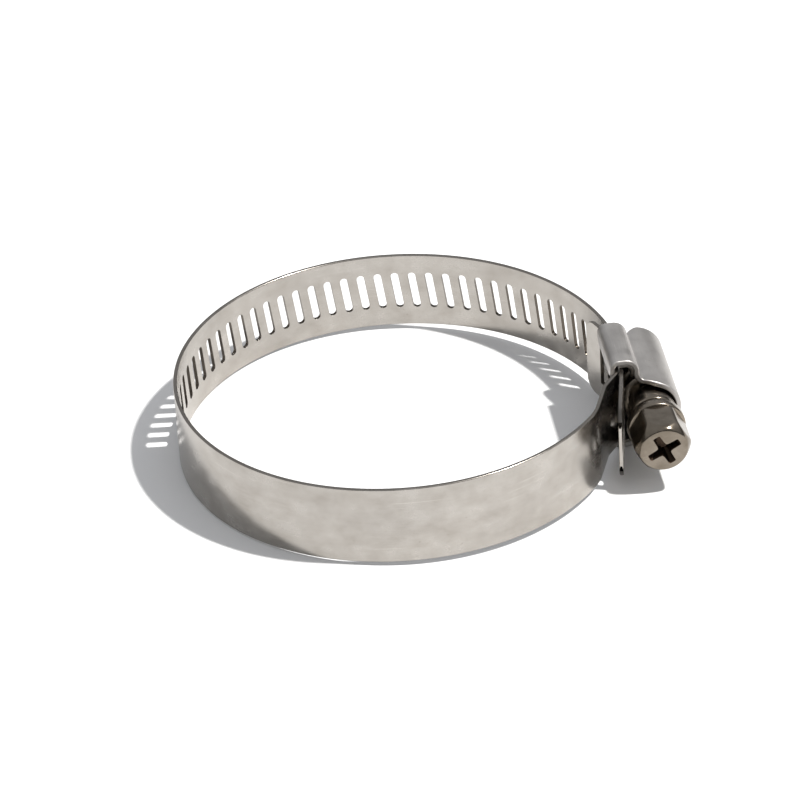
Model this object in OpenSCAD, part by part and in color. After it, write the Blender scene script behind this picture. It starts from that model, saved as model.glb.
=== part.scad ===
// Worm-drive hose clamp with a perforated band.
// Origin: on the axis of the hose bore, at mid-width of the band.
// +Z runs along the hose, +X points to the screw housing, and the screw lies
// parallel to Y with its head towards -Y.

/* [Band] */
// Width of the band, measured along the hose
band_w = 12.7; // [12.2:0.1:13.2]
// Thickness of the band strip
band_t = 0.6; // [0.55:0.05:0.65]
// Radius of the round inner wall opposite the housing
bore_r = 32.2; // [32.18:0.01:32.22]
// Mid-surface radius of the two flatter sides that lead to the housing
side_r = 34; // [33.98:0.01:34.02]
// Distance from one slot to the next along the band
pitch = 2.71; // [2.7:0.01:2.72]
// Length of a slot across the band
slot_l = 6.3; // [5.5:0.1:6.8]
// Width of a slot along the band
slot_w = 1.2; // [1.15:0.05:1.3]
// Gap between two neighbouring lengths of the band at a flexing line
flex_gap = 0.06; // [0.05:0.01:0.08]
// Gap opposite the housing, where the two halves of the flexing band meet
open_gap = 0.5; // [0.46:0.02:0.6]

/* [Housing] */
// Thickness of the housing sheet
sheet_t = 0.8; // [0.78:0.02:0.82]
// Inner radius of the barrel that holds the screw
barrel_r = 3.92; // [3.9:0.01:3.94]
// Length of the barrel on the head side, measured from the origin
barrel_near = 10.2; // [9.8:0.1:10.3]
// Length of the barrel on the far side, measured from the origin
barrel_far = 6; // [5.7:0.1:6.2]
// Length of the lobes on the head side
lobe_near = 8; // [7.8:0.1:8]
// Length of the lobes on the far side
lobe_far = 3.2; // [2.8:0.1:3.2]
// Height of the lobes above mid-width, outside
lobe_top = 7.75; // [7.73:0.01:7.77]

/* [Screw] */
// Distance from the hose axis to the screw axis
screw_x = 37.85; // [37.84:0.01:37.88]
// Outer radius of the thread
thread_r = 3.84; // [3.8:0.01:3.85]
// Radius of the core under the thread
core_r = 2.85; // [2.8:0.01:2.87]
// Width across the flats of the hexagonal head
hex_af = 7.8; // [7.5:0.1:8]
// Radius of the round collar behind the hexagon
collar_r = 4.4; // [4.3:0.05:4.45]
// Depth of the cross recess
recess_d = 2.4; // [1.5:0.1:3]

/* [Hidden] */
$fn = 96;

function deg(len, r) = len / r * 180 / PI;
function polar(c, r, a) = c + r * [cos(a), sin(a)];
function arc_points(c, r, a0, a1, n) = [for (i = [0:n]) polar(c, r, a0 + (a1 - a0) * i / n)];
function reversed(list) = [for (i = [len(list) - 1:-1:0]) list[i]];

// Band, seen along the hose: a round left wall, two flatter sides, and the housing.
left_r = bore_r + band_t / 2;
side_step = deg(pitch, side_r);
left_step = deg(pitch, left_r);
slots_to_left = 24.5;
back_slots = 5;
left_slots = 6;
join_a = slots_to_left * side_step;
side_offset = side_r - left_r;
back_c = -side_offset * [cos(join_a), sin(join_a)];
front_c = [back_c[0], -back_c[1]];
mesh_y = back_c[1];
first_tail_slot = -2.5;
last_slot = 37;
tail_root_a = first_tail_slot * side_step;
tail_root = polar(back_c, side_r, tail_root_a);
tail_l = 11.5;
tail_corner = 3;
slide_slots = 9.5;
front_lengths = 3;
front_step = 18.9;
anchor_a = 360 - join_a + front_lengths * front_step - 360;

// Fixed end of the band: a tight bend, the jog into the housing and the plate.
tight_r = 10;
tight_from = 38;
tight_to = 20.5;
kink = [30.8, -11.7];
plate_x = 33.26;
jog_end = [plate_x, -8.3];
jog_tilt = atan((jog_end[0] - kink[0]) / (jog_end[1] - kink[1]));
plate_bend_y = 3.3;
plate_tilt = 21;
plate_tip_l = 5;
plate_corner = 2.4;
window_h = 7;
window_from = -6.4;
window_to = 4.1;

// Housing, seen along the screw.
barrel_c = [screw_x, 0];
half_t = sheet_t / 2;
barrel_mid = barrel_r + half_t;
bore_cover = 0.1;
lobe_mid_top = lobe_top - half_t;
lip_x = 32.53;
lip_z = 4.9;
corner_r = 1;
corner_c = [lip_x + corner_r, lobe_mid_top - corner_r];
crown_r = 1.75;
crown_c = [34.5, lobe_mid_top - crown_r];
valley_r = 0.9;
crown_gap = norm(crown_c - barrel_c);
to_crown = (crown_c - barrel_c) / crown_gap;
valley_along = (pow(barrel_mid + valley_r, 2) - pow(crown_r + valley_r, 2) + pow(crown_gap, 2)) / (2 * crown_gap);
valley_side = sqrt(pow(barrel_mid + valley_r, 2) - pow(valley_along, 2));
valley_c = barrel_c + valley_along * to_crown + valley_side * [to_crown[1], -to_crown[0]];
crown_end_a = atan2(valley_c[1] - crown_c[1], valley_c[0] - crown_c[0]);
barrel_end_a = atan2(valley_c[1] - barrel_c[1], valley_c[0] - barrel_c[0]);
barrel_edge_a = 112;

// Saddle: a thinner sheet nested inside the lobes.
saddle_t = 0.45;
nest_gap = 0.03;
saddle_r = crown_r - half_t - nest_gap - saddle_t / 2;
saddle_x = 33.6;
saddle_near = 7.9;
saddle_far = 3.1;
saddle_hook_a = 22;

// Screw, along its axis.
thread_from = -8.4;
thread_to = 5.4;
thread_tip_w = 0.62;
thread_root_w = 1.05;
thread_base_r = core_r - 0.15;
thread_sides = 36;
run_out = 0.45;
screw_end = 6.2;
groove_r = 3.3;
groove_1 = -8.7;
ring_from = -10.6;
ring_to = -12.7;
ring_r = 3.75;
collar_from = -14;
collar_to = -15.5;
hex_to = -21.4;
hex_corner_r = 4.3;
face_r = 3.55;
recess_w = 1.05;
recess_l = 5;
recess_turn = 28;

// Extrudes a profile drawn in X and Z from y0 to y1.
module along_y(y0, y1) {
    translate([0, y1, 0]) rotate([90, 0, 0]) linear_extrude(height = y1 - y0) children();
}

// Strip of band round a centre, from angle a0 to a1, drawn back by half a gap at each end.
module arc_strip(c, r, a0, a1, gap0 = flex_gap, gap1 = flex_gap) {
    trim0 = deg(gap0 / 2, r);
    trim1 = deg(gap1 / 2, r);
    translate([c[0], c[1], 0]) rotate([0, 0, a0 + trim0])
        rotate_extrude(angle = a1 - a0 - trim0 - trim1)
            translate([r - band_t / 2, -band_w / 2]) square([band_t, band_w]);
}

// One slot, leaning as the thread does.
module slot() {
    lean = atan(pitch / (2 * PI * (core_r + thread_r) / 2));
    rotate([-lean, 0, 0]) cube([6 * band_t, slot_w, slot_l], center = true);
}

// Flatter side at the back, between two slot positions.
module back_length(from, to) {
    difference() {
        arc_strip(back_c, side_r, from * side_step, to * side_step);
        for (i = [ceil(from):floor(to)])
            translate([back_c[0], back_c[1], 0]) rotate([0, 0, i * side_step]) translate([side_r, 0, 0]) slot();
    }
}

// Round left wall, between two slot positions counted from its join with the back.
module left_length(from, to, gap0 = flex_gap, gap1 = flex_gap) {
    difference() {
        arc_strip([0, 0], left_r, join_a + from * left_step, join_a + to * left_step, gap0, gap1);
        for (i = [ceil(from + slots_to_left):floor(to + slots_to_left)])
            if (i <= last_slot)
                rotate([0, 0, join_a + (i - slots_to_left) * left_step]) translate([left_r, 0, 0]) slot();
    }
}

module front_length(i) {
    from = 360 - join_a + i * front_step;
    arc_strip(front_c, side_r, from, from + front_step);
}

module band_sliding_length() {
    color("silver") back_length(first_tail_slot, slide_slots);
}

// Free end: straight, with slots and rounded corners.
module band_tail() {
    color("silver") translate([tail_root[0], tail_root[1], 0]) rotate([0, 0, tail_root_a])
        difference() {
            translate([-band_t / 2, -tail_l, -band_w / 2]) cube([band_t, tail_l - flex_gap / 2, band_w]);
            for (i = [0:3]) translate([0, -(i + 0.5) * pitch, 0]) slot();
            translate([0, -tail_l, 0]) mirror([0, 1, 0]) corner_cuts(tail_corner);
        }
}

// Rounds both corners of a strip that ends at Y = 0.
module corner_cuts(r) {
    past = 0.5;
    for (s = [0, 1]) mirror([0, 0, s]) translate([0, 0, band_w / 2])
        rotate([90, 0, 90]) linear_extrude(height = 6 * band_t, center = true)
            polygon(concat([[past, -r]], arc_points([-r, -r], r, 0, 90, 6), [[-r, past], [past, past]]));
}

module back_node(i) {
    color("silver") back_length(slide_slots + i * back_slots, slide_slots + (i + 1) * back_slots);
}

module left_node(i, gap0 = flex_gap, gap1 = flex_gap) {
    left_total = (360 - 2 * join_a) / left_step;
    to = min((i + 1) * left_slots, left_total);
    color("silver") left_length(i * left_slots, to, gap0, gap1);
}

module band_length_01() { color("silver") front_length(2); }
module band_length_02() { color("silver") front_length(1); }
module band_length_03() { color("silver") front_length(0); }
module band_length_04() { left_node(4); }
module band_length_05() { left_node(3); }
module band_length_06() { left_node(2, gap0 = open_gap); }
module band_length_07() { left_node(1, gap1 = open_gap); }
module band_length_08() { left_node(0); }
module band_length_09() { back_node(2); }
module band_length_10() { back_node(1); }
module band_length_11() { back_node(0); }

// Mid-line of the fixed end, from the last flexing line to the plate's tip.
function side_tangent_shift(a, r) = r * [cos(a), -sin(a)];
tight_start = polar(front_c, side_r, -tight_from);
tight_c = tight_start - side_tangent_shift(tight_from, tight_r);
plate_tip = [plate_x, plate_bend_y] + plate_tip_l * [-sin(plate_tilt), cos(plate_tilt)];
fixed_mid = concat(
    arc_points(front_c, side_r, anchor_a, -tight_from, 6),
    arc_points(tight_c, tight_r, -tight_from + 4, -tight_to, 3),
    bend_points(kink, tight_to, jog_tilt, 2),
    bend_points(jog_end, jog_tilt, 0, 1.5),
    bend_points([plate_x, plate_bend_y], 0, -plate_tilt, 1.5),
    [plate_tip]);

// Rounds a corner p where the heading, measured from +Y towards +X, turns from h0 to h1.
function bend_points(p, h0, h1, r) =
    let (turn = h1 - h0, back = r * tan(abs(turn) / 2), side = turn > 0 ? 1 : -1,
         start = p - back * [sin(h0), cos(h0)], c = start + side * r * [cos(h0), -sin(h0)])
    [for (i = [0:4]) let (h = h0 + turn * i / 4) c - side * r * [cos(h), -sin(h)]];

// Unit normal of a line of points at point i.
function normal_at(line, i) =
    let (a = line[max(i - 1, 0)], b = line[min(i + 1, len(line) - 1)], d = (b - a) / norm(b - a))
    [d[1], -d[0]];
function thick_outline(line, t) = concat(
    [for (i = [0:len(line) - 1]) line[i] + t / 2 * normal_at(line, i)],
    [for (i = [len(line) - 1:-1:0]) line[i] - t / 2 * normal_at(line, i)]);

// Fixed end of the band: it runs through the housing under the sliding length.
module band_fixed_end() {
    color("silver") difference() {
        translate([0, 0, -band_w / 2]) linear_extrude(height = band_w)
            polygon(thick_outline(fixed_mid, band_t));
        along_y(window_from, window_to) translate([bore_r - 3, -window_h / 2]) square([6, window_h]);
        translate([plate_tip[0], plate_tip[1], 0]) rotate([0, 0, plate_tilt]) corner_cuts(plate_corner);
    }
}

// Housing sheet, upper half: one side of it, offset by half a thickness (side = 1 outer, -1 inner).
function barrel_side(side, a) =
    arc_points(barrel_c, barrel_mid + side * half_t - (side < 0 ? bore_cover : 0), a, 0, 16);
function lobe_side(side) = concat(
    [[lip_x - side * half_t, lip_z]],
    arc_points(corner_c, corner_r + side * half_t, 180, 90, 8),
    arc_points(crown_c, crown_r + side * half_t, 90, crown_end_a, 8),
    arc_points(valley_c, valley_r - side * half_t, crown_end_a + 180, barrel_end_a + 180, 6),
    barrel_side(side, barrel_end_a));
function flipped(points) = reversed([for (p = points) [p[0], -p[1]]]);
function mirrored_side(points) = concat(points, [for (i = [1:len(points) - 1]) flipped(points)[i]]);

module sheet_profile(outer, inner) {
    difference() {
        polygon(concat(mirrored_side(outer), reversed(mirrored_side(inner))));
        translate(barrel_c) circle(r = barrel_r);
    }
}

module housing() {
    color("lightgray") {
        along_y(-lobe_near, lobe_far) sheet_profile(lobe_side(1), lobe_side(-1));
        along_y(-barrel_near, -lobe_near)
            sheet_profile(barrel_side(1, barrel_edge_a), barrel_side(-1, barrel_edge_a));
        along_y(lobe_far, barrel_far)
            sheet_profile(barrel_side(1, barrel_edge_a), barrel_side(-1, barrel_edge_a));
    }
}

// Saddle: two strips, one in each lobe, that the edges of the band run under.
saddle_mid = concat(
    [[saddle_x, crown_c[1] + saddle_r]],
    arc_points(crown_c, saddle_r, 90, crown_end_a, 8),
    [for (i = [1:3]) polar(valley_c, crown_r + valley_r - saddle_r, crown_end_a + 180 + saddle_hook_a * i / 3)]);

module saddle() {
    color("darkgray") for (s = [0, 1]) mirror([0, 0, s])
        along_y(-saddle_near, saddle_far) polygon(thick_outline(saddle_mid, saddle_t));
}

// Right-hand thread: a trapezoid swept round the screw axis, fading out at both ends.
thread_turns = (thread_to - thread_from) / pitch;
thread_rings = floor(thread_turns * thread_sides);
function fade(turn) = min(1, turn / run_out, (thread_turns - turn) / run_out);
function thread_ring(i) =
    let (turn = i / thread_sides, a = 360 * (thread_from + turn * pitch - mesh_y) / pitch - 90,
         y = thread_from + turn * pitch, f = max(fade(turn), 0.02),
         r = thread_base_r + (thread_r - thread_base_r) * f, w = thread_root_w + (thread_tip_w - thread_root_w) * f)
    [for (q = [[thread_base_r, -thread_root_w], [r, -w], [r, w], [thread_base_r, thread_root_w]])
        [q[0] * sin(a), y + q[1] / 2, q[0] * cos(a)]];

module thread() {
    points = [for (i = [0:thread_rings]) each thread_ring(i)];
    sides = [for (i = [0:thread_rings - 1]) for (k = [0:3])
        let (a = 4 * i + k, b = 4 * i + (k + 1) % 4) each [[a, b, b + 4], [a, b + 4, a + 4]]];
    caps = [[3, 2, 1], [3, 1, 0], [for (k = [0, 1, 2]) 4 * thread_rings + k],
        [for (k = [0, 2, 3]) 4 * thread_rings + k]];
    polyhedron(points = points, faces = concat(sides, caps));
}

// Turned outline of the screw, as radius against distance along Y.
module screw_outline() {
    polygon([[0, screw_end], [core_r - 0.5, screw_end], [core_r, screw_end - 0.5], [core_r, groove_1],
        [groove_r, groove_1 - 0.3], [groove_r, ring_from], [ring_r, ring_from - 0.1], [ring_r, ring_to],
        [groove_r, ring_to - 0.2], [groove_r, collar_from], [collar_r - 0.15, collar_from],
        [collar_r, collar_from - 0.15], [collar_r, collar_to + 0.15], [collar_r - 0.15, collar_to],
        [groove_r, collar_to], [0, collar_to]]);
}

module hex_head() {
    rotate([90, 0, 0]) intersection() {
        cylinder(r = hex_af / 2 / cos(30), h = -hex_to, $fn = 6);
        rotate_extrude() polygon([[0, -collar_to - 0.2], [hex_corner_r, -collar_to - 0.2],
            [hex_corner_r, -hex_to - 1.2], [face_r, -hex_to], [0, -hex_to]]);
    }
}

module cross_recess() {
    rotate([90, recess_turn, 0]) translate([0, 0, -hex_to - recess_d]) {
        for (a = [0, 90]) rotate([0, 0, a])
            translate([-recess_l / 2, -recess_w / 2, 0]) cube([recess_l, recess_w, recess_d + 1]);
    }
}

module worm_screw() {
    color("gray") translate([screw_x, 0, 0]) difference() {
        union() {
            rotate([-90, 0, 0]) rotate_extrude() screw_outline();
            hex_head();
            thread();
        }
        cross_recess();
    }
}

housing();
saddle();
worm_screw();
band_fixed_end();
band_length_01();
band_length_02();
band_length_03();
band_length_04();
band_length_05();
band_length_06();
band_length_07();
band_length_08();
band_length_09();
band_length_10();
band_length_11();
band_sliding_length();
band_tail();
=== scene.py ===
import math

import bpy
import numpy as np
from mathutils import Matrix, Vector


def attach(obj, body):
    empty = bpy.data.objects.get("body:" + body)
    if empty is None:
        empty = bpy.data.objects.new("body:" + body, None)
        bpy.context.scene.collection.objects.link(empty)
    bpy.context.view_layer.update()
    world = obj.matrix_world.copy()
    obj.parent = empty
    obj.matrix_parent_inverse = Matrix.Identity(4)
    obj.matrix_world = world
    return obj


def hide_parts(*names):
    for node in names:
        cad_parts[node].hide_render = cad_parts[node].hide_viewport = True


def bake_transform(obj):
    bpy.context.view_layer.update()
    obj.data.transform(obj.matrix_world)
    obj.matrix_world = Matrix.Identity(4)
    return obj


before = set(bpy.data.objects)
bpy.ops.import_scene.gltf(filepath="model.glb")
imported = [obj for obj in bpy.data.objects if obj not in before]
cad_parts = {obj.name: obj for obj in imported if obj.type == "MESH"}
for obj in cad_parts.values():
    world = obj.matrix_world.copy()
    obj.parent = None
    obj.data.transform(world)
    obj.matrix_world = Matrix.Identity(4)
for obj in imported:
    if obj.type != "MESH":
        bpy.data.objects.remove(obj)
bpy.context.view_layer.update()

MM = 0.001

# ---------------------------------------------------------------- sizes, in mm, as in the CAD model
BAND_W, BAND_T, PITCH = 12.7, 0.6, 2.71
# radii of the band's mid-line: front and back of the ring, its left, and the bend before the kink
SIDE_R, LEFT_R, TIGHT_R = 34.0, 32.5, 10.0
# places along the band, in slots: where the left of the ring begins, where the tail begins, the last slot
TO_LEFT, FIRST, LAST = 24.5, -2.5, 37
TAIL_L, TAIL_CORNER, PLATE_CORNER = 11.5, 3.0, 2.4
# the fixed end: angles where the tight bend starts and ends, the kink, then the plate inside the ring
TIGHT_FROM, TIGHT_TO = 38, 20.5
KINK, KINK_R, PLATE_X, JOG_Y, PLATE_BEND_R = (30.8, -11.7), 2.0, 33.26, -8.3, 1.5
PLATE_BEND_Y, PLATE_TILT, PLATE_TIP = 3.3, 21.0, 5.0
# the window in the plate: half its height, and its ends in Y
WINDOW_H, WINDOW_FROM, WINDOW_TO = 3.5, -6.4, 4.1
# slots: half their width and half the length of their straight sides, their lean, their worn bevel
SLOT_R, SLOT_H, LEAN, BEVEL = 0.6, 2.55, math.radians(7.35), 0.07
SHEET_T, BARREL_C, BARREL_R = 0.8, (37.85, 0.0), 3.92
# half the band's width, and the radius of its rounded long edges
HALF, EDGE = BAND_W / 2, 0.17
# how much painted shade is drawn on a slot's bevel and on the rounded long edges, where a slot wall, fully
# shaded, is 1
BEVEL_SHADE = 0.55


def rad(a):
    return math.radians(a)


def smooth(x):
    x = min(1.0, max(0.0, x))
    return x * x * (3 - 2 * x)


# ---------------------------------------------------------------- mesh helper
class Build:
    """Collects points with their own normals, then makes a mesh object from them."""

    def __init__(self):
        self.co, self.no, self.flow, self.faces, self.keys = [], [], [], [], {}

    def point(self, key, co, no, flow=(0.0, 0.0, 0.0)):
        if key in self.keys:
            return self.keys[key]
        self.keys[key] = len(self.co)
        self.co.append(co)
        self.no.append(no)
        self.flow.append(flow)
        return self.keys[key]

    def face(self, *ids):
        ids = [a for i, a in enumerate(ids) if a != ids[i - 1]]
        if len(ids) > 2 and len(set(ids)) == len(ids):
            self.faces.append(ids)

    def make(self, name, custom=True):
        me = bpy.data.meshes.new(name)
        me.from_pydata([[c * MM for c in p] for p in self.co], [], self.faces)
        me.validate()
        me.update()
        # the third flow value is how much painted shade a point gets
        for attr, k, unit in (("flow_s", 0, MM), ("flow_z", 1, MM), ("rim_shade", 2, 1.0)):
            a = me.attributes.new(attr, "FLOAT", "POINT")
            a.data.foreach_set("value", [f[k] * unit for f in self.flow])
        me.shade_smooth()
        if custom:
            no = np.array(self.no, float)
            no /= np.maximum(np.linalg.norm(no, axis=1, keepdims=True), 1e-9)
            me.normals_split_custom_set_from_vertices([tuple(n) for n in no])
        obj = bpy.data.objects.new(name, me)
        bpy.context.scene.collection.objects.link(obj)
        return obj


# ---------------------------------------------------------------- mid-line of the band
STEP = PITCH / SIDE_R
JOIN = TO_LEFT * STEP
OFFSET = SIDE_R - LEFT_R
BACK_C = (-OFFSET * math.cos(JOIN), -OFFSET * math.sin(JOIN))
TAIL_ROOT = (BACK_C[0] + SIDE_R * math.cos(FIRST * STEP), BACK_C[1] + SIDE_R * math.sin(FIRST * STEP))
U_LEFT = TO_LEFT * PITCH
U_FRONT = U_LEFT + (2 * math.pi - 2 * JOIN) * LEFT_R
U_TIGHT = U_FRONT + (JOIN - rad(TIGHT_FROM)) * SIDE_R


def corner(h0, h1, r):
    """Length cut from each leg, and arc length, of a bend between headings h0 and h1, in degrees."""
    turn = rad(abs(h1 - h0))
    return r * math.tan(turn / 2), r * turn


def build_path():
    """Lines and arcs of the mid-line, from the tail's tip round to the plate's tip, and its length."""
    tip_a = FIRST * STEP
    x = TAIL_ROOT[0] + TAIL_L * math.sin(tip_a)
    y = TAIL_ROOT[1] - TAIL_L * math.cos(tip_a)
    phi = tip_a + math.pi / 2
    u = FIRST * PITCH - TAIL_L
    segs = []

    def run(length, kappa=0.0):
        nonlocal x, y, phi, u
        segs.append((u, kappa, x, y, phi))
        if kappa:
            x += (math.sin(phi + kappa * length) - math.sin(phi)) / kappa
            y -= (math.cos(phi + kappa * length) - math.cos(phi)) / kappa
            phi += kappa * length
        else:
            x += length * math.cos(phi)
            y += length * math.sin(phi)
        u += length

    run(TAIL_L)
    run(U_LEFT - FIRST * PITCH, 1 / SIDE_R)
    run(U_FRONT - U_LEFT, 1 / LEFT_R)
    run(U_TIGHT - U_FRONT, 1 / SIDE_R)
    run(TIGHT_R * rad(TIGHT_FROM - TIGHT_TO), 1 / TIGHT_R)
    jog = math.degrees(math.atan2(PLATE_X - KINK[0], JOG_Y - KINK[1]))
    legs = [
        (KINK, TIGHT_TO, jog, KINK_R),
        ((PLATE_X, JOG_Y), jog, 0.0, PLATE_BEND_R),
        ((PLATE_X, PLATE_BEND_Y), 0.0, -PLATE_TILT, PLATE_BEND_R),
    ]
    for p, h0, h1, r in legs:
        back, bend = corner(h0, h1, r)
        run(math.hypot(p[0] - x, p[1] - y) - back)
        run(bend, -math.copysign(1 / r, h1 - h0))
    run(PLATE_TIP - back)
    return segs, u


SEGS, U_END = build_path()


def at(u):
    """Place, outward normal and heading of the band's mid-line at length u from the first slot."""
    seg = SEGS[0]
    for s in SEGS:
        if u >= s[0] - 1e-9:
            seg = s
    u0, k, x, y, phi = seg
    d = u - u0
    a = phi + k * d
    if k:
        place = (x + (math.sin(a) - math.sin(phi)) / k, y - (math.cos(a) - math.cos(phi)) / k)
    else:
        place = (x + d * math.cos(phi), y + d * math.sin(phi))
    return place, (math.sin(a), -math.cos(a)), (math.cos(a), math.sin(a))


U_TIP = FIRST * PITCH - TAIL_L


def tip_limit(u):
    """Half width of the strip at u, with both ends' rounded corners."""
    for d, r in ((u - U_TIP, TAIL_CORNER), (U_END - u, PLATE_CORNER)):
        if d < r:
            return HALF - r + math.sqrt(max(0.0, r * r - (r - max(0.0, d)) ** 2))
    return HALF


def strip_point(b, u, z, off, n, tag="", rim_shade=0.0):
    """A point of the strip: u along it, z across it, off from its mid-line; n is (along, out, up)."""
    lim = tip_limit(u)
    flat = HALF - (TAIL_CORNER if u < 0 else PLATE_CORNER)
    if lim < HALF and abs(z) > flat:
        z = math.copysign(flat + (abs(z) - flat) * (lim - flat) / (HALF - flat), z)
    (x, y), (nx, ny), (tx, ty) = at(u)
    key = (tag, round(u, 4), round(z, 4), round(off, 4))
    no = (n[0] * tx + n[1] * nx, n[0] * ty + n[1] * ny, n[2])
    return b.point(key, (x + off * nx, y + off * ny, z), no, (u, z, rim_shade))


# heights of the mesh rows across the band, and across the plate, whose window ends on two of them
ZROWS = [-HALF + EDGE, -4.6, -3.1, -1.5, 0.0, 1.5, 3.1, 4.6, HALF - EDGE]
PLATE_ROWS = [-HALF + EDGE, -4.6, -WINDOW_H, -1.5, 0, 1.5, WINDOW_H, 4.6, HALF - EDGE]


# the slot position where the tail's cells begin, and the longest plain cells on the plate and elsewhere
TIP_CELL, PLATE_CELL, PLAIN_CELL = -6.5, 0.42, 0.9


def rim_strip(b, u0, u1):
    """The rounded long edges between two stations."""
    flat = BAND_T / 2 - EDGE
    for s in (-1, 1):
        prev = None
        for side, phi in [(1, p) for p in (0, 30, 60, 90)] + [(-1, p) for p in (90, 120, 150, 180)]:
            c, d = math.cos(rad(phi)), math.sin(rad(phi))
            z = s * (HALF - EDGE + EDGE * d)
            off = side * flat + EDGE * c
            # painted shade on the rounded long edges, darkest along the band's top and bottom edge lines
            row = [strip_point(b, u, z, off, (0, c, s * d), rim_shade=BEVEL_SHADE * d) for u in (u0, u1)]
            if prev:
                q = (prev[0], prev[1], row[1], row[0])
                b.face(*(q if s > 0 else q[::-1]))
            prev = row


def plain_cell(b, u0, u1, rows=ZROWS, skip=None):
    """Both faces and the long edges of the strip from u0 to u1, less the cells that skip names."""
    for s in (1, -1):
        off, n = s * BAND_T / 2, (0, s, 0)
        for z0, z1 in zip(rows, rows[1:]):
            if skip and skip(0.5 * (u0 + u1), 0.5 * (z0 + z1)):
                continue
            q = [strip_point(b, u, z, off, n) for u, z in ((u0, z0), (u1, z0), (u1, z1), (u0, z1))]
            b.face(*(q if s > 0 else q[::-1]))
    rim_strip(b, u0, u1)


def slot_ring(grow):
    """32 points round a slot, clockwise from its lower left, each with its direction away from it."""
    r, h, sides, turns = SLOT_R + grow, SLOT_H, 8, 8
    half_turn = [math.pi * i / turns for i in range(1, turns)]
    left = [(-r, -h + i * 2 * h / sides, -1, 0) for i in range(sides + 1)]
    top = [(-r * math.cos(a), h + r * math.sin(a), -math.cos(a), math.sin(a)) for a in half_turn]
    right = [(r, h - i * 2 * h / sides, 1, 0) for i in range(sides + 1)]
    bottom = [(r * math.cos(a), -h - r * math.sin(a), math.cos(a), -math.sin(a)) for a in half_turn]
    c, s = math.cos(LEAN), math.sin(LEAN)
    return [(a * c + z * s, z * c - a * s, na * c + nz * s, nz * c - na * s)
            for a, z, na, nz in left + top + right + bottom]


def slot_cell(b, i):
    """One slot pitch of the band: two faces with the slot cut through them, its wall and the long edges."""
    uc, w, half, cells = i * PITCH, PITCH / 2, BAND_T / 2, 8
    step = 2 * w / cells
    shallow = 0.3 * BEVEL
    bound = [(-w, z) for z in ZROWS] + [(-w + k * step, ZROWS[-1]) for k in range(1, cells)]
    bound += [(w, z) for z in reversed(ZROWS)] + [(w - k * step, ZROWS[0]) for k in range(1, cells)]
    wide, mid, tight = slot_ring(BEVEL), slot_ring(shallow), slot_ring(0.0)
    n = len(wide)
    near = [(0.35 * p[0] + 0.65 * q[0], 0.35 * p[1] + 0.65 * q[1]) for p, q in zip(bound, wide)]
    for s in (1, -1):
        rings = [[strip_point(b, uc + q[0], q[1], s * half, (0, s, 0)) for q in ring]
                 for ring in (bound, near, wide)]
        # painted shade: the bevel round each slot is darkened part way, the slot wall fully
        rings.append([strip_point(b, uc + q[0], q[1], s * (half - shallow), (-q[2], s, -q[3]),
                                  rim_shade=BEVEL_SHADE) for q in mid])
        rings.append([strip_point(b, uc + q[0], q[1], s * (half - BEVEL), (-q[2], 0, -q[3]),
                                  rim_shade=1.0) for q in tight])
        for r0, r1 in zip(rings, rings[1:]):
            for k in range(n):
                m = (k + 1) % n
                q = (r0[k], r1[k], r1[m], r0[m])
                b.face(*(q if s > 0 else q[::-1]))
        if s > 0:
            upper = rings[-1]
    for k in range(n):
        m = (k + 1) % n
        b.face(upper[k], rings[-1][k], rings[-1][m], upper[m])
    for k in range(cells):
        rim_strip(b, uc - w + k * step, uc - w + (k + 1) * step)


def end_cap(b, u, side, rows):
    """Closes the strip at a free end, with its own rounded edge; side is 1 at its start, -1 at its end."""
    flat = BAND_T / 2 - EDGE
    cols = [(u + side * EDGE * (1 - math.sin(rad(p))), flat + EDGE * math.cos(rad(p)), p)
            for p in (0, 30, 60, 90)]
    for s in (1, -1):
        for ca, cb in zip(cols, cols[1:]):
            for z0, z1 in zip(rows, rows[1:]):
                q = []
                for (at_u, off, p), z in ((ca, z0), (cb, z0), (cb, z1), (ca, z1)):
                    n = (-side * math.sin(rad(p)), s * math.cos(rad(p)), 0)
                    q.append(strip_point(b, at_u, z, s * off, n, "" if p == 0 else "cap"))
                b.face(*(q if s * -side > 0 else q[::-1]))
    for z0, z1 in zip(rows, rows[1:]):
        q = [strip_point(b, u, z, off, (-side, 0, 0), "cap")
             for off, z in ((flat, z0), (-flat, z0), (-flat, z1), (flat, z1))]
        b.face(*(q if side < 0 else q[::-1]))


def tail_tip(b):
    """The tail's end, up to the slot cell nearest to it."""
    stations = [U_TIP + EDGE, U_TIP + 0.4, TIP_CELL * PITCH]
    for u0, u1 in zip(stations, stations[1:]):
        plain_cell(b, u0, u1)
    end_cap(b, U_TIP, 1, ZROWS)


def plate(b, u, end):
    """The fixed end from u: the kink and the plate with its window."""
    w0, w1 = window_u(WINDOW_FROM), window_u(WINDOW_TO)
    marks = [u, w0, w1, end]
    stations = []
    for m0, m1 in zip(marks, marks[1:]):
        k = max(1, math.ceil((m1 - m0) / PLATE_CELL))
        stations += [m0 + (m1 - m0) * j / k for j in range(k)]
    stations.append(end)

    def in_window(uu, zz):
        return w0 < uu < w1 and abs(zz) < WINDOW_H

    for u0, u1 in zip(stations, stations[1:]):
        plain_cell(b, u0, u1, PLATE_ROWS, in_window)
    window_walls(b, w0, w1, stations)
    end_cap(b, U_END, -1, PLATE_ROWS)


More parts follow.
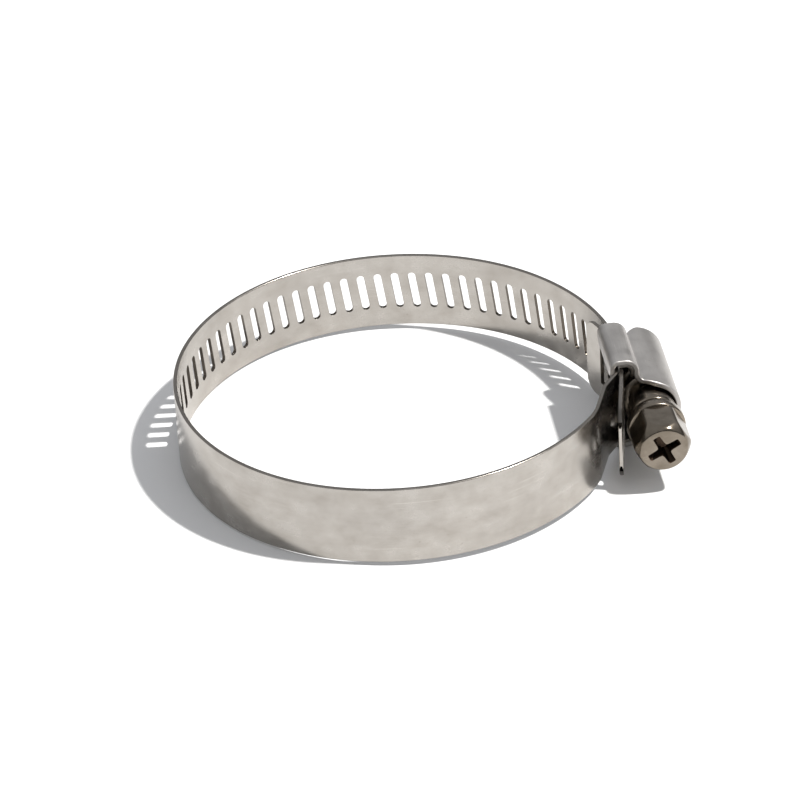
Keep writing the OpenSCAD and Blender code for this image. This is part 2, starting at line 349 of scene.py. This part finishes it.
def band_piece(name, pos, b_end, hinge, bodies, nodes):
    """One piece of the band from pos to b_end, in slot positions; the hinge position is not used."""
    b = Build()
    if pos < FIRST:
        tail_tip(b)
        pos = TIP_CELL
    while pos < b_end - 1e-6 and pos < LAST + 0.4:
        slot_cell(b, round(pos + 0.5))
        pos += 1
    if pos < b_end - 1e-6:
        u, end = pos * PITCH, min(b_end * PITCH, U_END - EDGE)
        if b_end * PITCH >= U_END:
            plate(b, u, end)
        else:
            k = max(1, math.ceil((end - u) / PLAIN_CELL))
            for j in range(k):
                plain_cell(b, u + (end - u) * j / k, u + (end - u) * (j + 1) / k)
    obj = b.make(name)
    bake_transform(obj)
    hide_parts(*nodes)
    obj.data.materials.append(BAND_MAT)


def window_u(y):
    """Length along the band where the plate passes y."""
    lo, hi = SEGS[-4][0], U_END
    for _ in range(50):
        m = 0.5 * (lo + hi)
        if at(m)[0][1] < y:
            lo = m
        else:
            hi = m
    return lo


def window_walls(b, w0, w1, stations):
    """The four walls of the window in the plate."""
    h = BAND_T / 2
    inside = [u for u in stations if w0 - 1e-6 <= u <= w1 + 1e-6]
    for z, s in ((WINDOW_H, -1), (-WINDOW_H, 1)):
        for u0, u1 in zip(inside, inside[1:]):
            q = [strip_point(b, u, z, o, (0, 0, s), "wall")
                 for u, o in ((u0, h), (u1, h), (u1, -h), (u0, -h))]
            b.face(*(q if s > 0 else q[::-1]))
    window_rows = [z for z in PLATE_ROWS if abs(z) <= WINDOW_H]
    for u, s in ((w0, 1), (w1, -1)):
        for z0, z1 in zip(window_rows, window_rows[1:]):
            q = [strip_point(b, u, z, o, (s, 0, 0), "end")
                 for z, o in ((z0, h), (z1, h), (z1, -h), (z0, -h))]
            b.face(*(q if s < 0 else q[::-1]))


# ---------------------------------------------------------------- materials
def material(name):
    m = bpy.data.materials.new(name)
    m.use_nodes = True
    return m, m.node_tree.nodes, m.node_tree.links, m.node_tree.nodes["Principled BSDF"]


def attribute(nodes, name):
    n = nodes.new("ShaderNodeAttribute")
    n.attribute_name = name
    return n.outputs["Fac"]


def scaled(nodes, links, vector, scale):
    m = nodes.new("ShaderNodeVectorMath")
    m.operation = "MULTIPLY"
    m.inputs[1].default_value = scale
    links.new(vector, m.inputs[0])
    return m.outputs[0]


def flow_vector(nodes, links, scale):
    """Coordinates that follow the strip: along it and across it."""
    c = nodes.new("ShaderNodeCombineXYZ")
    links.new(attribute(nodes, "flow_s"), c.inputs["X"])
    links.new(attribute(nodes, "flow_z"), c.inputs["Y"])
    return scaled(nodes, links, c.outputs[0], scale)


def object_vector(nodes, links, scale):
    return scaled(nodes, links, nodes.new("ShaderNodeTexCoord").outputs["Object"], scale)


def noise(nodes, links, vector, detail, rough=0.55):
    n = nodes.new("ShaderNodeTexNoise")
    n.inputs["Scale"].default_value = 1.0
    n.inputs["Detail"].default_value = detail
    n.inputs["Roughness"].default_value = rough
    links.new(vector, n.inputs["Vector"])
    return n.outputs["Fac"]


def ramp(nodes, links, value, stops):
    r = nodes.new("ShaderNodeValToRGB")
    e = r.color_ramp.elements
    while len(e) < len(stops):
        e.new(0.5)
    for el, (p, c) in zip(e, stops):
        el.position = p
        el.color = (*c, 1) if isinstance(c, tuple) else (c, c, c, 1)
    links.new(value, r.inputs["Fac"])
    return r.outputs["Color"]


def mix(nodes, links, fac, a, b, kind="MIX"):
    m = nodes.new("ShaderNodeMix")
    m.data_type = "RGBA"
    m.blend_type = kind
    for sock, v in ((m.inputs[0], fac), (m.inputs[6], a), (m.inputs[7], b)):
        if hasattr(v, "node"):
            links.new(v, sock)
        elif isinstance(v, tuple):
            sock.default_value = (*v, 1)
        else:
            sock.default_value = v
    return m.outputs[2]


def bump(nodes, links, height, strength, distance, normal=None):
    n = nodes.new("ShaderNodeBump")
    n.inputs["Strength"].default_value = strength
    n.inputs["Distance"].default_value = distance
    links.new(height, n.inputs["Height"])
    if normal is not None:
        links.new(normal, n.inputs["Normal"])
    return n.outputs["Normal"]


CLOUDS, PATCHES, SPECKS = (230.0, 300.0, 300.0), (70.0, 110.0, 110.0), (2100.0, 2100.0, 2100.0)
# colour of the painted shade on slot walls, bevels and rounded edges
RIM_SHADE_COLOUR = (0.10, 0.085, 0.07)


def steel(name, base, dark, rough, vec, streaks, stains=0.55):
    """Rolled or stamped steel: clouds, streaks, thin scratches and specks, and painted shade on slot walls,
    bevels and rounded edges where the mesh marks it.
    """
    m, nodes, links, bsdf = material(name)
    fine = noise(nodes, links, vec(nodes, links, streaks), 6.0, 0.65)
    cloud = noise(nodes, links, vec(nodes, links, CLOUDS), 4.0, 0.55)
    patch = noise(nodes, links, vec(nodes, links, PATCHES), 2.0, 0.5)
    colour = ramp(nodes, links, cloud, [(0.30, dark), (0.66, base)])
    for source, low, high in ((patch, 0.32, 0.62), (fine, 0.3, 0.7)):
        shade = ramp(nodes, links, source, [(low, 0.84), (high, 1.0)])
        colour = mix(nodes, links, 0.5, colour, shade, "MULTIPLY")
    # long thin scratches, brighter than the skin around them
    line_noise = noise(nodes, links, vec(nodes, links, tuple(0.35 * k for k in streaks)), 1.0, 0.5)
    scratch = ramp(nodes, links, line_noise, [(0.70, 0.0), (0.735, 0.35), (0.75, 0.0)])
    colour = mix(nodes, links, scratch, colour, tuple(min(1.0, c * 1.45) for c in base))
    # small brown specks, in patches
    spot = noise(nodes, links, vec(nodes, links, SPECKS), 3.0, 0.6)
    spots = ramp(nodes, links, spot, [(0.64, 0.0), (0.72, 1.0)])
    where = ramp(nodes, links, patch, [(0.42, 0.0), (0.66, stains)])
    amount = mix(nodes, links, 1.0, spots, where, "MULTIPLY")
    brown = tuple(c * 0.45 * k for c, k in zip(dark, (1.0, 0.88, 0.74)))
    colour = mix(nodes, links, amount, colour, brown)
    # painted shade: slot walls, their bevels and the rounded long edges are darkened
    colour = mix(nodes, links, attribute(nodes, "rim_shade"), colour, RIM_SHADE_COLOUR)
    links.new(colour, bsdf.inputs["Base Color"])
    bsdf.inputs["Metallic"].default_value = 1.0
    rmap = nodes.new("ShaderNodeMapRange")
    for socket, value in (("From Min", 0.3), ("From Max", 0.7), ("To Min", rough[0]), ("To Max", rough[1])):
        rmap.inputs[socket].default_value = value
    links.new(cloud, rmap.inputs["Value"])
    add = nodes.new("ShaderNodeMath")
    add.operation = "MULTIPLY_ADD"
    add.inputs[1].default_value = 0.10
    links.new(fine, add.inputs[0])
    links.new(rmap.outputs[0], add.inputs[2])
    links.new(add.outputs[0], bsdf.inputs["Roughness"])
    grain = bump(nodes, links, fine, 0.10, 0.00002)
    links.new(bump(nodes, links, patch, 0.22, 0.00012, grain), bsdf.inputs["Normal"])
    return m


BAND_MAT = steel("band_finish", (0.46, 0.435, 0.405), (0.36, 0.335, 0.305), (0.14, 0.24),
                 flow_vector, (120.0, 9000.0, 1.0))
HOUSING_MAT = steel("housing_finish", (0.56, 0.54, 0.52), (0.47, 0.45, 0.43), (0.34, 0.44),
                    object_vector, (9000.0, 500.0, 9000.0), 0.3)
SADDLE_MAT = steel("saddle_finish", (0.34, 0.32, 0.295), (0.24, 0.22, 0.195), (0.2, 0.3),
                   object_vector, (9000.0, 600.0, 9000.0))
SCREW_MAT = steel("screw_finish", (0.27, 0.235, 0.195), (0.16, 0.135, 0.105), (0.10, 0.22),
                  object_vector, (1800.0, 9000.0, 1800.0), 0.7)
# near-black painted shade for the faces of the cross recess
RECESS_SHADE_MAT = steel("recess_painted_shade", (0.10, 0.07, 0.05), (0.04, 0.028, 0.02), (0.3, 0.45),
                   object_vector, (2500.0, 2500.0, 2500.0), 0.8)

# ---------------------------------------------------------------- band
# hinges of the front, and where its pieces meet, in slot positions
FRONT_STEP = SIDE_R * rad(18.9) / PITCH
HINGES = [U_FRONT / PITCH + k * FRONT_STEP for k in range(4)]
CUTS = [51.0, 55.0, 59.2, 63.3]
BAND_END = U_END / PITCH + 1
# name, start and end, hinge, the two bodies it joins, the CAD nodes it replaces
PIECES = [
    ("band_tail_piece", U_TIP / PITCH, 3.5, FIRST, ("tail", "sliding"), ["band_tail"]),
    ("band_piece_01", 3.5, 12.5, 9.5, ("sliding", "length_11"), ["band_sliding_length"]),
    ("band_piece_02", 12.5, 17.5, 14.5, ("length_11", "length_10"), ["band_length_11"]),
    ("band_piece_03", 17.5, 22.5, 19.5, ("length_10", "length_09"), ["band_length_10"]),
    ("band_piece_04", 22.5, 27.5, 24.5, ("length_09", "length_08"), ["band_length_09"]),
    ("band_piece_05", 27.5, 36.5, 30.5, ("length_08", "length_07"), ["band_length_08", "band_length_07"]),
    ("band_piece_06", 36.5, 45.5, 42.5, ("length_06", "length_05"), ["band_length_06", "band_length_05"]),
    ("band_piece_07", 45.5, CUTS[0], 48.5, ("length_05", "length_04"), ["band_length_04"]),
    ("band_piece_08", CUTS[0], CUTS[1], HINGES[0], ("length_04", "length_03"), ["band_length_03"]),
    ("band_piece_09", CUTS[1], CUTS[2], HINGES[1], ("length_03", "length_02"), ["band_length_02"]),
    ("band_piece_10", CUTS[2], CUTS[3], HINGES[2], ("length_02", "length_01"), ["band_length_01"]),
    ("band_fixed_piece", CUTS[3], BAND_END, HINGES[3], ("length_01", "root"), ["band_fixed_end"]),
]
for args in PIECES:
    band_piece(*args)


# ---------------------------------------------------------------- housing and saddle, seen along the screw
HT = SHEET_T / 2
MID_R = BARREL_R + HT
LOBE_TOP = 7.75 - HT
CROWN_R, VALLEY_R, CORNER_R = 1.75, 0.9, 1.0
LIP = (32.53, 4.9)
CROWN_C = (34.5, LOBE_TOP - CROWN_R)
gap = math.dist(CROWN_C, BARREL_C)
ex, ez = (CROWN_C[0] - BARREL_C[0]) / gap, (CROWN_C[1] - BARREL_C[1]) / gap
along = ((MID_R + VALLEY_R) ** 2 - (CROWN_R + VALLEY_R) ** 2 + gap ** 2) / (2 * gap)
side = math.sqrt((MID_R + VALLEY_R) ** 2 - along ** 2)
VALLEY_C = (BARREL_C[0] + along * ex + side * ez, BARREL_C[1] + along * ez - side * ex)
CROWN_END = math.degrees(math.atan2(VALLEY_C[1] - CROWN_C[1], VALLEY_C[0] - CROWN_C[0]))
BARREL_END = math.degrees(math.atan2(VALLEY_C[1] - BARREL_C[1], VALLEY_C[0] - BARREL_C[0]))


def arc(c, r, a0, a1, n, flip=False):
    """Points of an arc with the sheet's outward normal; flip where the sheet bends the other way."""
    out = []
    for i in range(n + 1):
        a = rad(a0 + (a1 - a0) * i / n)
        s = -1 if flip else 1
        out.append((c[0] + r * math.cos(a), c[1] + r * math.sin(a), s * math.cos(a), s * math.sin(a)))
    return out


def line(p, q, normal, n):
    return [(p[0] + (q[0] - p[0]) * i / n, p[1] + (q[1] - p[1]) * i / n, *normal) for i in range(n + 1)]


def chain(*parts):
    out = []
    for part in parts:
        for p in part:
            if not out or math.dist(out[-1][:2], p[:2]) > 1e-3:
                out.append(p)
    return out


def mirrored(half):
    return half + [(x, -z, nx, -nz) for x, z, nx, nz in reversed(half)][1:]


def profile_lengths(profile):
    out = [0.0]
    for p, q in zip(profile, profile[1:]):
        out.append(out[-1] + math.dist(p[:2], q[:2]))
    return out


def slab(name, profile, t, y_from, y_to, e, mat, ny=14):
    """A bent sheet with rounded edges of radius e.

    The profile gives (x, z, normal) along its mid-line; y_from and y_to give its ends in Y at a length.
    """
    b = Build()
    v = profile_lengths(profile)
    total = v[-1]
    h = t / 2

    def sample(d):
        d = min(max(d, 0.0), total)
        i = min(max(np.searchsorted(v, d) - 1, 0), len(v) - 2)
        f = (d - v[i]) / max(v[i + 1] - v[i], 1e-9)
        p = [profile[i][k] * (1 - f) + profile[i + 1][k] * f for k in range(4)]
        size = math.hypot(p[2], p[3])
        return p[0], p[1], p[2] / size, p[3] / size

    phis = (90, 60, 30)
    inset = [e * (1 - math.sin(rad(p))) for p in phis]
    rows = [(c, p, -1) for c, p in zip(inset, phis)]
    rows += [(d, 0, 0) for d in v if e * 1.02 < d < total - e * 1.02]
    rows += [(total - c, p, 1) for c, p in zip(inset[::-1], phis[::-1])]
    grid = {1: [], -1: []}
    near = 0.05
    for d, p, end in rows:
        x, z, nx, nz = sample(d)
        tx, tz = -nz, nx
        if d < total:
            g = np.array(sample(min(d + near, total))[:2]) - np.array(sample(max(d - near, 0.0))[:2])
            tx, tz = g / np.linalg.norm(g)
        a, c = y_from(d, total), y_to(d, total)
        cols = [(a + i, q, -1) for i, q in zip(inset, phis)]
        cols += [(a + e + (c - a - 2 * e) * i / ny, 0, 0) for i in range(ny + 1)]
        cols += [(c - i, q, 1) for i, q in zip(inset[::-1], phis[::-1])]
        for s in (1, -1):
            ids = []
            for y, q, yend in cols:
                off = s * (h - max(e * (1 - math.cos(rad(p))), e * (1 - math.cos(rad(q)))))
                up, out = math.cos(rad(max(p, q))), end * math.sin(rad(p))
                n = [s * nx * up + out * tx, yend * math.sin(rad(q)), s * nz * up + out * tz]
                key = (s, round(d, 4), round(y, 4), round(off, 4), q * yend)
                ids.append(b.point(key, (x + off * nx, y, z + off * nz), n, (d, y, 0.0)))
            grid[s].append(ids)
    for s in (1, -1):
        for r0, r1 in zip(grid[s], grid[s][1:]):
            for k in range(len(r0) - 1):
                q = (r0[k], r0[k + 1], r1[k + 1], r1[k])
                b.face(*(q if s < 0 else q[::-1]))
    up, dn = grid[1], grid[-1]
    for r in range(len(up) - 1):
        for k in (0, -1):
            q = (up[r][k], up[r + 1][k], dn[r + 1][k], dn[r][k])
            b.face(*(q if k else q[::-1]))
    for r in (0, -1):
        for k in range(len(up[0]) - 1):
            q = (up[r][k], up[r][k + 1], dn[r][k + 1], dn[r][k])
            b.face(*(q if not r else q[::-1]))
    obj = b.make(name)
    obj.data.materials.append(mat)
    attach(obj, "root")
    return obj


half_profile = chain(
    line(LIP, (LIP[0], LOBE_TOP - CORNER_R), (-1, 0), 4),
    arc((LIP[0] + CORNER_R, LOBE_TOP - CORNER_R), CORNER_R, 180, 90, 14),
    arc(CROWN_C, CROWN_R, 90, CROWN_END, 12),
    arc(VALLEY_C, VALLEY_R, CROWN_END + 180, BARREL_END + 180, 12, True),
    arc(BARREL_C, MID_R, BARREL_END, 0, 30),
)
# lengths along the profile where the crown, the valley and the barrel begin
V_CROWN = next(d for d, p in zip(profile_lengths(half_profile), half_profile) if p[0] >= CROWN_C[0] - 0.02)
V_VALLEY = V_CROWN + CROWN_R * rad(90 - CROWN_END)
V_BARREL = V_VALLEY + VALLEY_R * abs(rad(CROWN_END - BARREL_END))


def rounded(d, r):
    """How far a corner of radius r pulls the sheet's end in at d from its lip."""
    return r - math.sqrt(max(0.0, r ** 2 - (r - d) ** 2)) if d < r else 0.0


def housing_near(d, total):
    """The end towards the screw's head: it runs from the lobes forward to the barrel."""
    d = min(d, total - d)
    return -8.0 - 2.2 * smooth((d - V_VALLEY + 0.8) / (V_BARREL - V_VALLEY + 3.4)) + rounded(d, 1.3)


def housing_far(d, total):
    d = min(d, total - d)
    return 3.2 + 2.8 * smooth((d - V_VALLEY + 0.6) / (V_BARREL - V_VALLEY + 2.2)) - rounded(d, 2.4)


housing = slab("clamp_housing", mirrored(half_profile), SHEET_T, housing_near, housing_far, 0.2,
               HOUSING_MAT)
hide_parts("housing")

SADDLE_T, SADDLE_GAP, SADDLE_X, HOOK_A, HOOK_STEPS = 0.45, 0.03, 33.6, 22, 6
SADDLE_R = CROWN_R - HT - SADDLE_GAP - SADDLE_T / 2
hook = [rad(CROWN_END + 180 + HOOK_A * i / HOOK_STEPS) for i in range(1, HOOK_STEPS + 1)]
hook_r = CROWN_R + VALLEY_R - SADDLE_R
saddle_half = chain(
    line((SADDLE_X, CROWN_C[1] + SADDLE_R), (CROWN_C[0], CROWN_C[1] + SADDLE_R), (0, 1), 3),
    arc(CROWN_C, SADDLE_R, 90, CROWN_END, 12),
    [(VALLEY_C[0] + hook_r * math.cos(a), VALLEY_C[1] + hook_r * math.sin(a), -math.cos(a), -math.sin(a))
     for a in hook],
)


def saddle_near(d, total):
    return -7.9


def saddle_far(d, total):
    return 3.1


def saddle_part(name, profile):
    return slab(name, profile, SADDLE_T, saddle_near, saddle_far, 0.12, SADDLE_MAT, 10)


upper = saddle_part("clamp_saddle_top", saddle_half)
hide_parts("saddle")
saddle_part("clamp_saddle_bottom", [(x, -z, nx, -nz) for x, z, nx, nz in saddle_half][::-1])


# ---------------------------------------------------------------- screw
HEAD_Y, HEX_R, CORNER_SOFT = -21.4, 3.9, 0.09
CROSS_TURN, CROSS_W, CROSS_L = 28, 0.56, 2.55
THREAD_R, CORE_R = 3.84, 2.85
# (y, radius) from the front of the collar to the far end: collar, journal, ring, journal, core
SHAFT_PROFILE = [
    (-15.5, 0.4), (-15.5, 4.2), (-15.47, 4.3), (-15.38, 4.38), (-15.25, 4.4),
    (-14.2, 4.4), (-14.08, 4.36), (-14.0, 4.25), (-14.0, 3.5), (-13.9, 3.32),
    (-13.75, 3.3), (-12.95, 3.3), (-12.85, 3.34), (-12.76, 3.5), (-12.74, 3.62),
    (-12.66, 3.72), (-12.5, 3.75), (-10.8, 3.75), (-10.68, 3.7), (-10.62, 3.6),
    (-10.6, 3.3), (-9.0, 3.3), (-8.7, CORE_R), (5.7, CORE_R), (6.05, 2.7), (6.2, 2.35), (6.2, 0.4),
]
# (y, radius) that caps the hexagon from its back to its domed face
HEAD_PROFILE = [
    (-15.45, 3.4), (-15.5, 4.0), (-15.52, 4.3), (-15.8, 4.34), (-17.5, 4.34), (-19.2, 4.34),
    (-19.9, 4.3), (-20.15, 4.22), (-20.4, 4.08), (-20.65, 3.94), (-20.9, 3.8), (-21.1, 3.68),
    (-21.25, 3.56), (-21.34, 3.42), (HEAD_Y, 3.2), (HEAD_Y, 2.4), (HEAD_Y, 1.2),
]


def apply_modifiers(obj):
    deps = bpy.context.evaluated_depsgraph_get()
    me = bpy.data.meshes.new_from_object(obj.evaluated_get(deps))
    obj.modifiers.clear()
    obj.data = me


def turned_point(b, key, y, r, a):
    """A point at radius r and angle a from +Z about the screw's axis."""
    return b.point(key, (BARREL_C[0] + r * math.sin(a), y, r * math.cos(a)), (0, 0, 1), (y, r, 0.0))


def join_rings(b, rings, flip):
    """Closes a stack of rings into one body, with a flat face at each end."""
    n = len(rings[0])
    for r0, r1 in zip(rings, rings[1:]):
        for i in range(n):
            j = (i + 1) % n
            b.face(*((r0[j], r0[i], r1[i], r1[j]) if flip else (r0[i], r0[j], r1[j], r1[i])))
    b.face(*(rings[0][::-1] if flip else rings[0]))
    b.face(*(rings[-1] if flip else rings[-1][::-1]))


def lathe(b, outline, n=96):
    """Turns (y, r) points about the screw's axis. Normals come from the mesh."""
    rings = [[turned_point(b, ("l", k, i), y, r, 2 * math.pi * i / n) for i in range(n)]
             for k, (y, r) in enumerate(outline)]
    join_rings(b, rings, False)


def soft_min(a, c, k):
    h = max(k - abs(a - c), 0.0) / k
    return min(a, c) - h * h * k * 0.25


def head(b, n=144):
    """Hexagonal head with chamfered corners and a flat face, as one closed body."""
    rings = []
    for k, (y, r) in enumerate(HEAD_PROFILE):
        ring = []
        for i in range(n):
            a = 2 * math.pi * i / n
            # a corner of the hexagon points along +X, so two of its flats face up and down
            flat = HEX_R / math.cos((a + math.pi / 6) % (math.pi / 3) - math.pi / 6)
            ring.append(turned_point(b, ("h", k, i), y, soft_min(flat, r, CORNER_SOFT), a))
        rings.append(ring)
    join_rings(b, rings, True)


def cross_cutter():
    """The body that cuts the cross recess, narrowing from the head's face inward."""
    b = Build()
    w, size = CROSS_W, CROSS_L
    # plan of one quarter turn, repeated four times: arm end, then the inner corner
    arm_end = [(size - 0.12, -w), (size, -w + 0.15), (size + 0.02, 0.0), (size, w - 0.15), (size - 0.12, w)]
    quarter = arm_end + [(w + 0.5, w + 0.02), (w + 0.12, w + 0.12), (w + 0.02, w + 0.5)]
    plan = []
    for q in range(4):
        c, s = math.cos(math.pi / 2 * q), math.sin(math.pi / 2 * q)
        plan += [(x * c - y * s, x * s + y * c) for x, y in quarter]
    c, s = math.cos(rad(CROSS_TURN)), math.sin(rad(CROSS_TURN))
    # depth, length of the arms, widening
    levels = ((-0.8, 1.12, 0.1), (0.0, 1.0, 0.05), (0.25, 0.96, 0.0), (1.6, 0.72, -0.05), (2.4, 0.42, -0.1))
    rings = []
    for k, (depth, reach, flare) in enumerate(levels):
        ring = []
        for m, (px, py) in enumerate(plan):
            arm = max(abs(px), abs(py)) > 1.2
            grow = (reach if arm else 1.0 + flare) * (1 + flare * 0.3)
            x, z = px * grow, py * grow
            place = (BARREL_C[0] + x * c - z * s, HEAD_Y + depth, x * s + z * c)
            ring.append(b.point(("c", k, m), place, (0, 0, 1)))
        rings.append(ring)
    join_rings(b, rings, True)
    return b.make("cutter", custom=False)


def thread(b, per_turn=48):
    """The worm: a ridge wound round the core, fading out at both ends."""
    y0, y1, root, tip, base, fade = -8.4, 5.4, 1.05, 0.62, 2.7, 0.45
    turns = (y1 - y0) / PITCH
    prev = None
    for i in range(int(turns * per_turn) + 1):
        t = i / per_turn
        y = y0 + t * PITCH
        a = 2 * math.pi * (y - BACK_C[1]) / PITCH - math.pi / 2
        f = max(min(1.0, t / fade, (turns - t) / fade), 0.02)
        r = base + (THREAD_R - base) * f
        w = root + (tip - root) * f
        shoulder = base + (r - base) * 0.9
        half = [(r, w - 0.12), (shoulder, w + 0.05), (base, root)]
        section = [(q, -z) for q, z in reversed(half)] + half
        ring = [turned_point(b, ("t", i, k), y + z / 2, q, a) for k, (q, z) in enumerate(section)]
        if prev:
            for k in range(len(section)):
                m = (k + 1) % len(section)
                b.face(prev[k], ring[k], ring[m], prev[m])
        else:
            b.face(*ring)
        prev = ring
    b.face(*prev[::-1])


shaft = Build()
lathe(shaft, SHAFT_PROFILE[::-1])
thread(shaft)
shaft_obj = shaft.make("clamp_screw_shaft", custom=False)
shaft_obj.data.set_sharp_from_angle(angle=rad(50))
shaft_obj.data.materials.append(SCREW_MAT)
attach(shaft_obj, "worm")
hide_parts("worm_screw")

head_build = Build()
head(head_build)
head_obj = head_build.make("clamp_screw_head", custom=False)
cutter = cross_cutter()
# the cross recess's faces take this near-black material: painted shade
cutter.data.materials.append(RECESS_SHADE_MAT)
head_obj.data.materials.append(SCREW_MAT)
mod = head_obj.modifiers.new("recess", "BOOLEAN")
mod.operation = "DIFFERENCE"
mod.solver = "EXACT"
mod.object = cutter
mod.material_mode = "TRANSFER"
apply_modifiers(head_obj)
bpy.data.objects.remove(cutter)
head_obj.data.shade_smooth()
head_obj.data.set_sharp_from_angle(angle=rad(42))
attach(head_obj, "worm")

# ---------------------------------------------------------------- floor, light and camera
FLOOR_TILT, FLOOR_Z, FLOOR_X, FLOOR_SIZE = rad(1.2), -7.8, 33.0, 900.0


def stage_plane():
    """A pale floor under the clamp, which leans a little because the housing props it up."""
    b = Build()
    corners = []
    for x, y in ((-1, -1), (1, -1), (1, 1), (-1, 1)):
        x, y = x * FLOOR_SIZE, y * FLOOR_SIZE
        z = FLOOR_Z + (FLOOR_X - x) * math.tan(FLOOR_TILT)
        corners.append(b.point((x, y), (x, y, z), (0, 0, 1)))
    b.face(*corners)
    obj = b.make("floor", custom=False)
    m, nodes, links, bsdf = material("floor_finish")
    bsdf.inputs["Roughness"].default_value = 0.7
    soft = noise(nodes, links, object_vector(nodes, links, (4.0, 4.0, 4.0)), 2.0)
    links.new(ramp(nodes, links, soft, [(0.3, 0.85), (0.7, 0.88)]), bsdf.inputs["Base Color"])
    obj.data.materials.append(m)


stage_plane()

bpy.context.scene.view_settings.view_transform = "Standard"
world = bpy.data.worlds.new("studio")
bpy.context.scene.world = world
world.use_nodes = True
wn, wl = world.node_tree.nodes, world.node_tree.links
bg = wn["Background"]
look = wn.new("ShaderNodeTexCoord")
split = wn.new("ShaderNodeSeparateXYZ")
wl.new(look.outputs["Generated"], split.inputs[0])
# a dark room low down, and a pale ceiling
height = wn.new("ShaderNodeMapRange")
height.interpolation_type = "SMOOTHSTEP"
height.inputs["From Min"].default_value = 0.05
height.inputs["From Max"].default_value = 0.6
wl.new(split.outputs["Z"], height.inputs["Value"])
sky = ramp(wn, wl, height.outputs[0], [(0.0, (0.10, 0.10, 0.10)), (1.0, (0.58, 0.59, 0.61))])
wl.new(sky, bg.inputs["Color"])
bg.inputs["Strength"].default_value = 1.0


# one small, strong light, high on the right, for the crisp shadow
KEY = np.array([0.56, -0.17, 1.0])
KEY_DISTANCE, KEY_SIZE, KEY_POWER = 1.5, 0.06, 30.0
key_data = bpy.data.lights.new("key", "AREA")
key_data.shape = "RECTANGLE"
key_data.size = key_data.size_y = KEY_SIZE
key_data.energy = KEY_POWER
key_data.color = (1.0, 0.985, 0.96)
key = bpy.data.objects.new("key", key_data)
bpy.context.scene.collection.objects.link(key)
key.location = KEY_DISTANCE * KEY / np.linalg.norm(KEY)
key.rotation_euler = Vector(-KEY).to_track_quat("-Z", "Y").to_euler()

# the camera looks at AIM from DISTANCE away
ELEV, AZIM, ROLL = rad(33.045), rad(-5.906), rad(3.532)
AIM, DISTANCE, LENS = np.array([1.181, 0.0, 0.330]), 677.56, 201.37
back = np.array([math.sin(AZIM) * math.cos(ELEV), -math.cos(AZIM) * math.cos(ELEV), math.sin(ELEV)])
right = np.array([math.cos(AZIM), math.sin(AZIM), 0.0])
up = np.cross(back, right)
cam_right = math.cos(ROLL) * right - math.sin(ROLL) * up
cam_up = math.sin(ROLL) * right + math.cos(ROLL) * up
eye = (AIM + DISTANCE * back) * MM
cam_data = bpy.data.cameras.new("camera")
cam_data.lens = LENS
cam_data.sensor_width = 36.0
cam_data.clip_start, cam_data.clip_end = 0.01, 20.0
cam = bpy.data.objects.new("camera", cam_data)
bpy.context.scene.collection.objects.link(cam)
rows = [(cam_right[i], cam_up[i], back[i], eye[i]) for i in range(3)]
cam.matrix_world = Matrix((*rows, (0, 0, 0, 1)))
bpy.context.scene.camera = cam
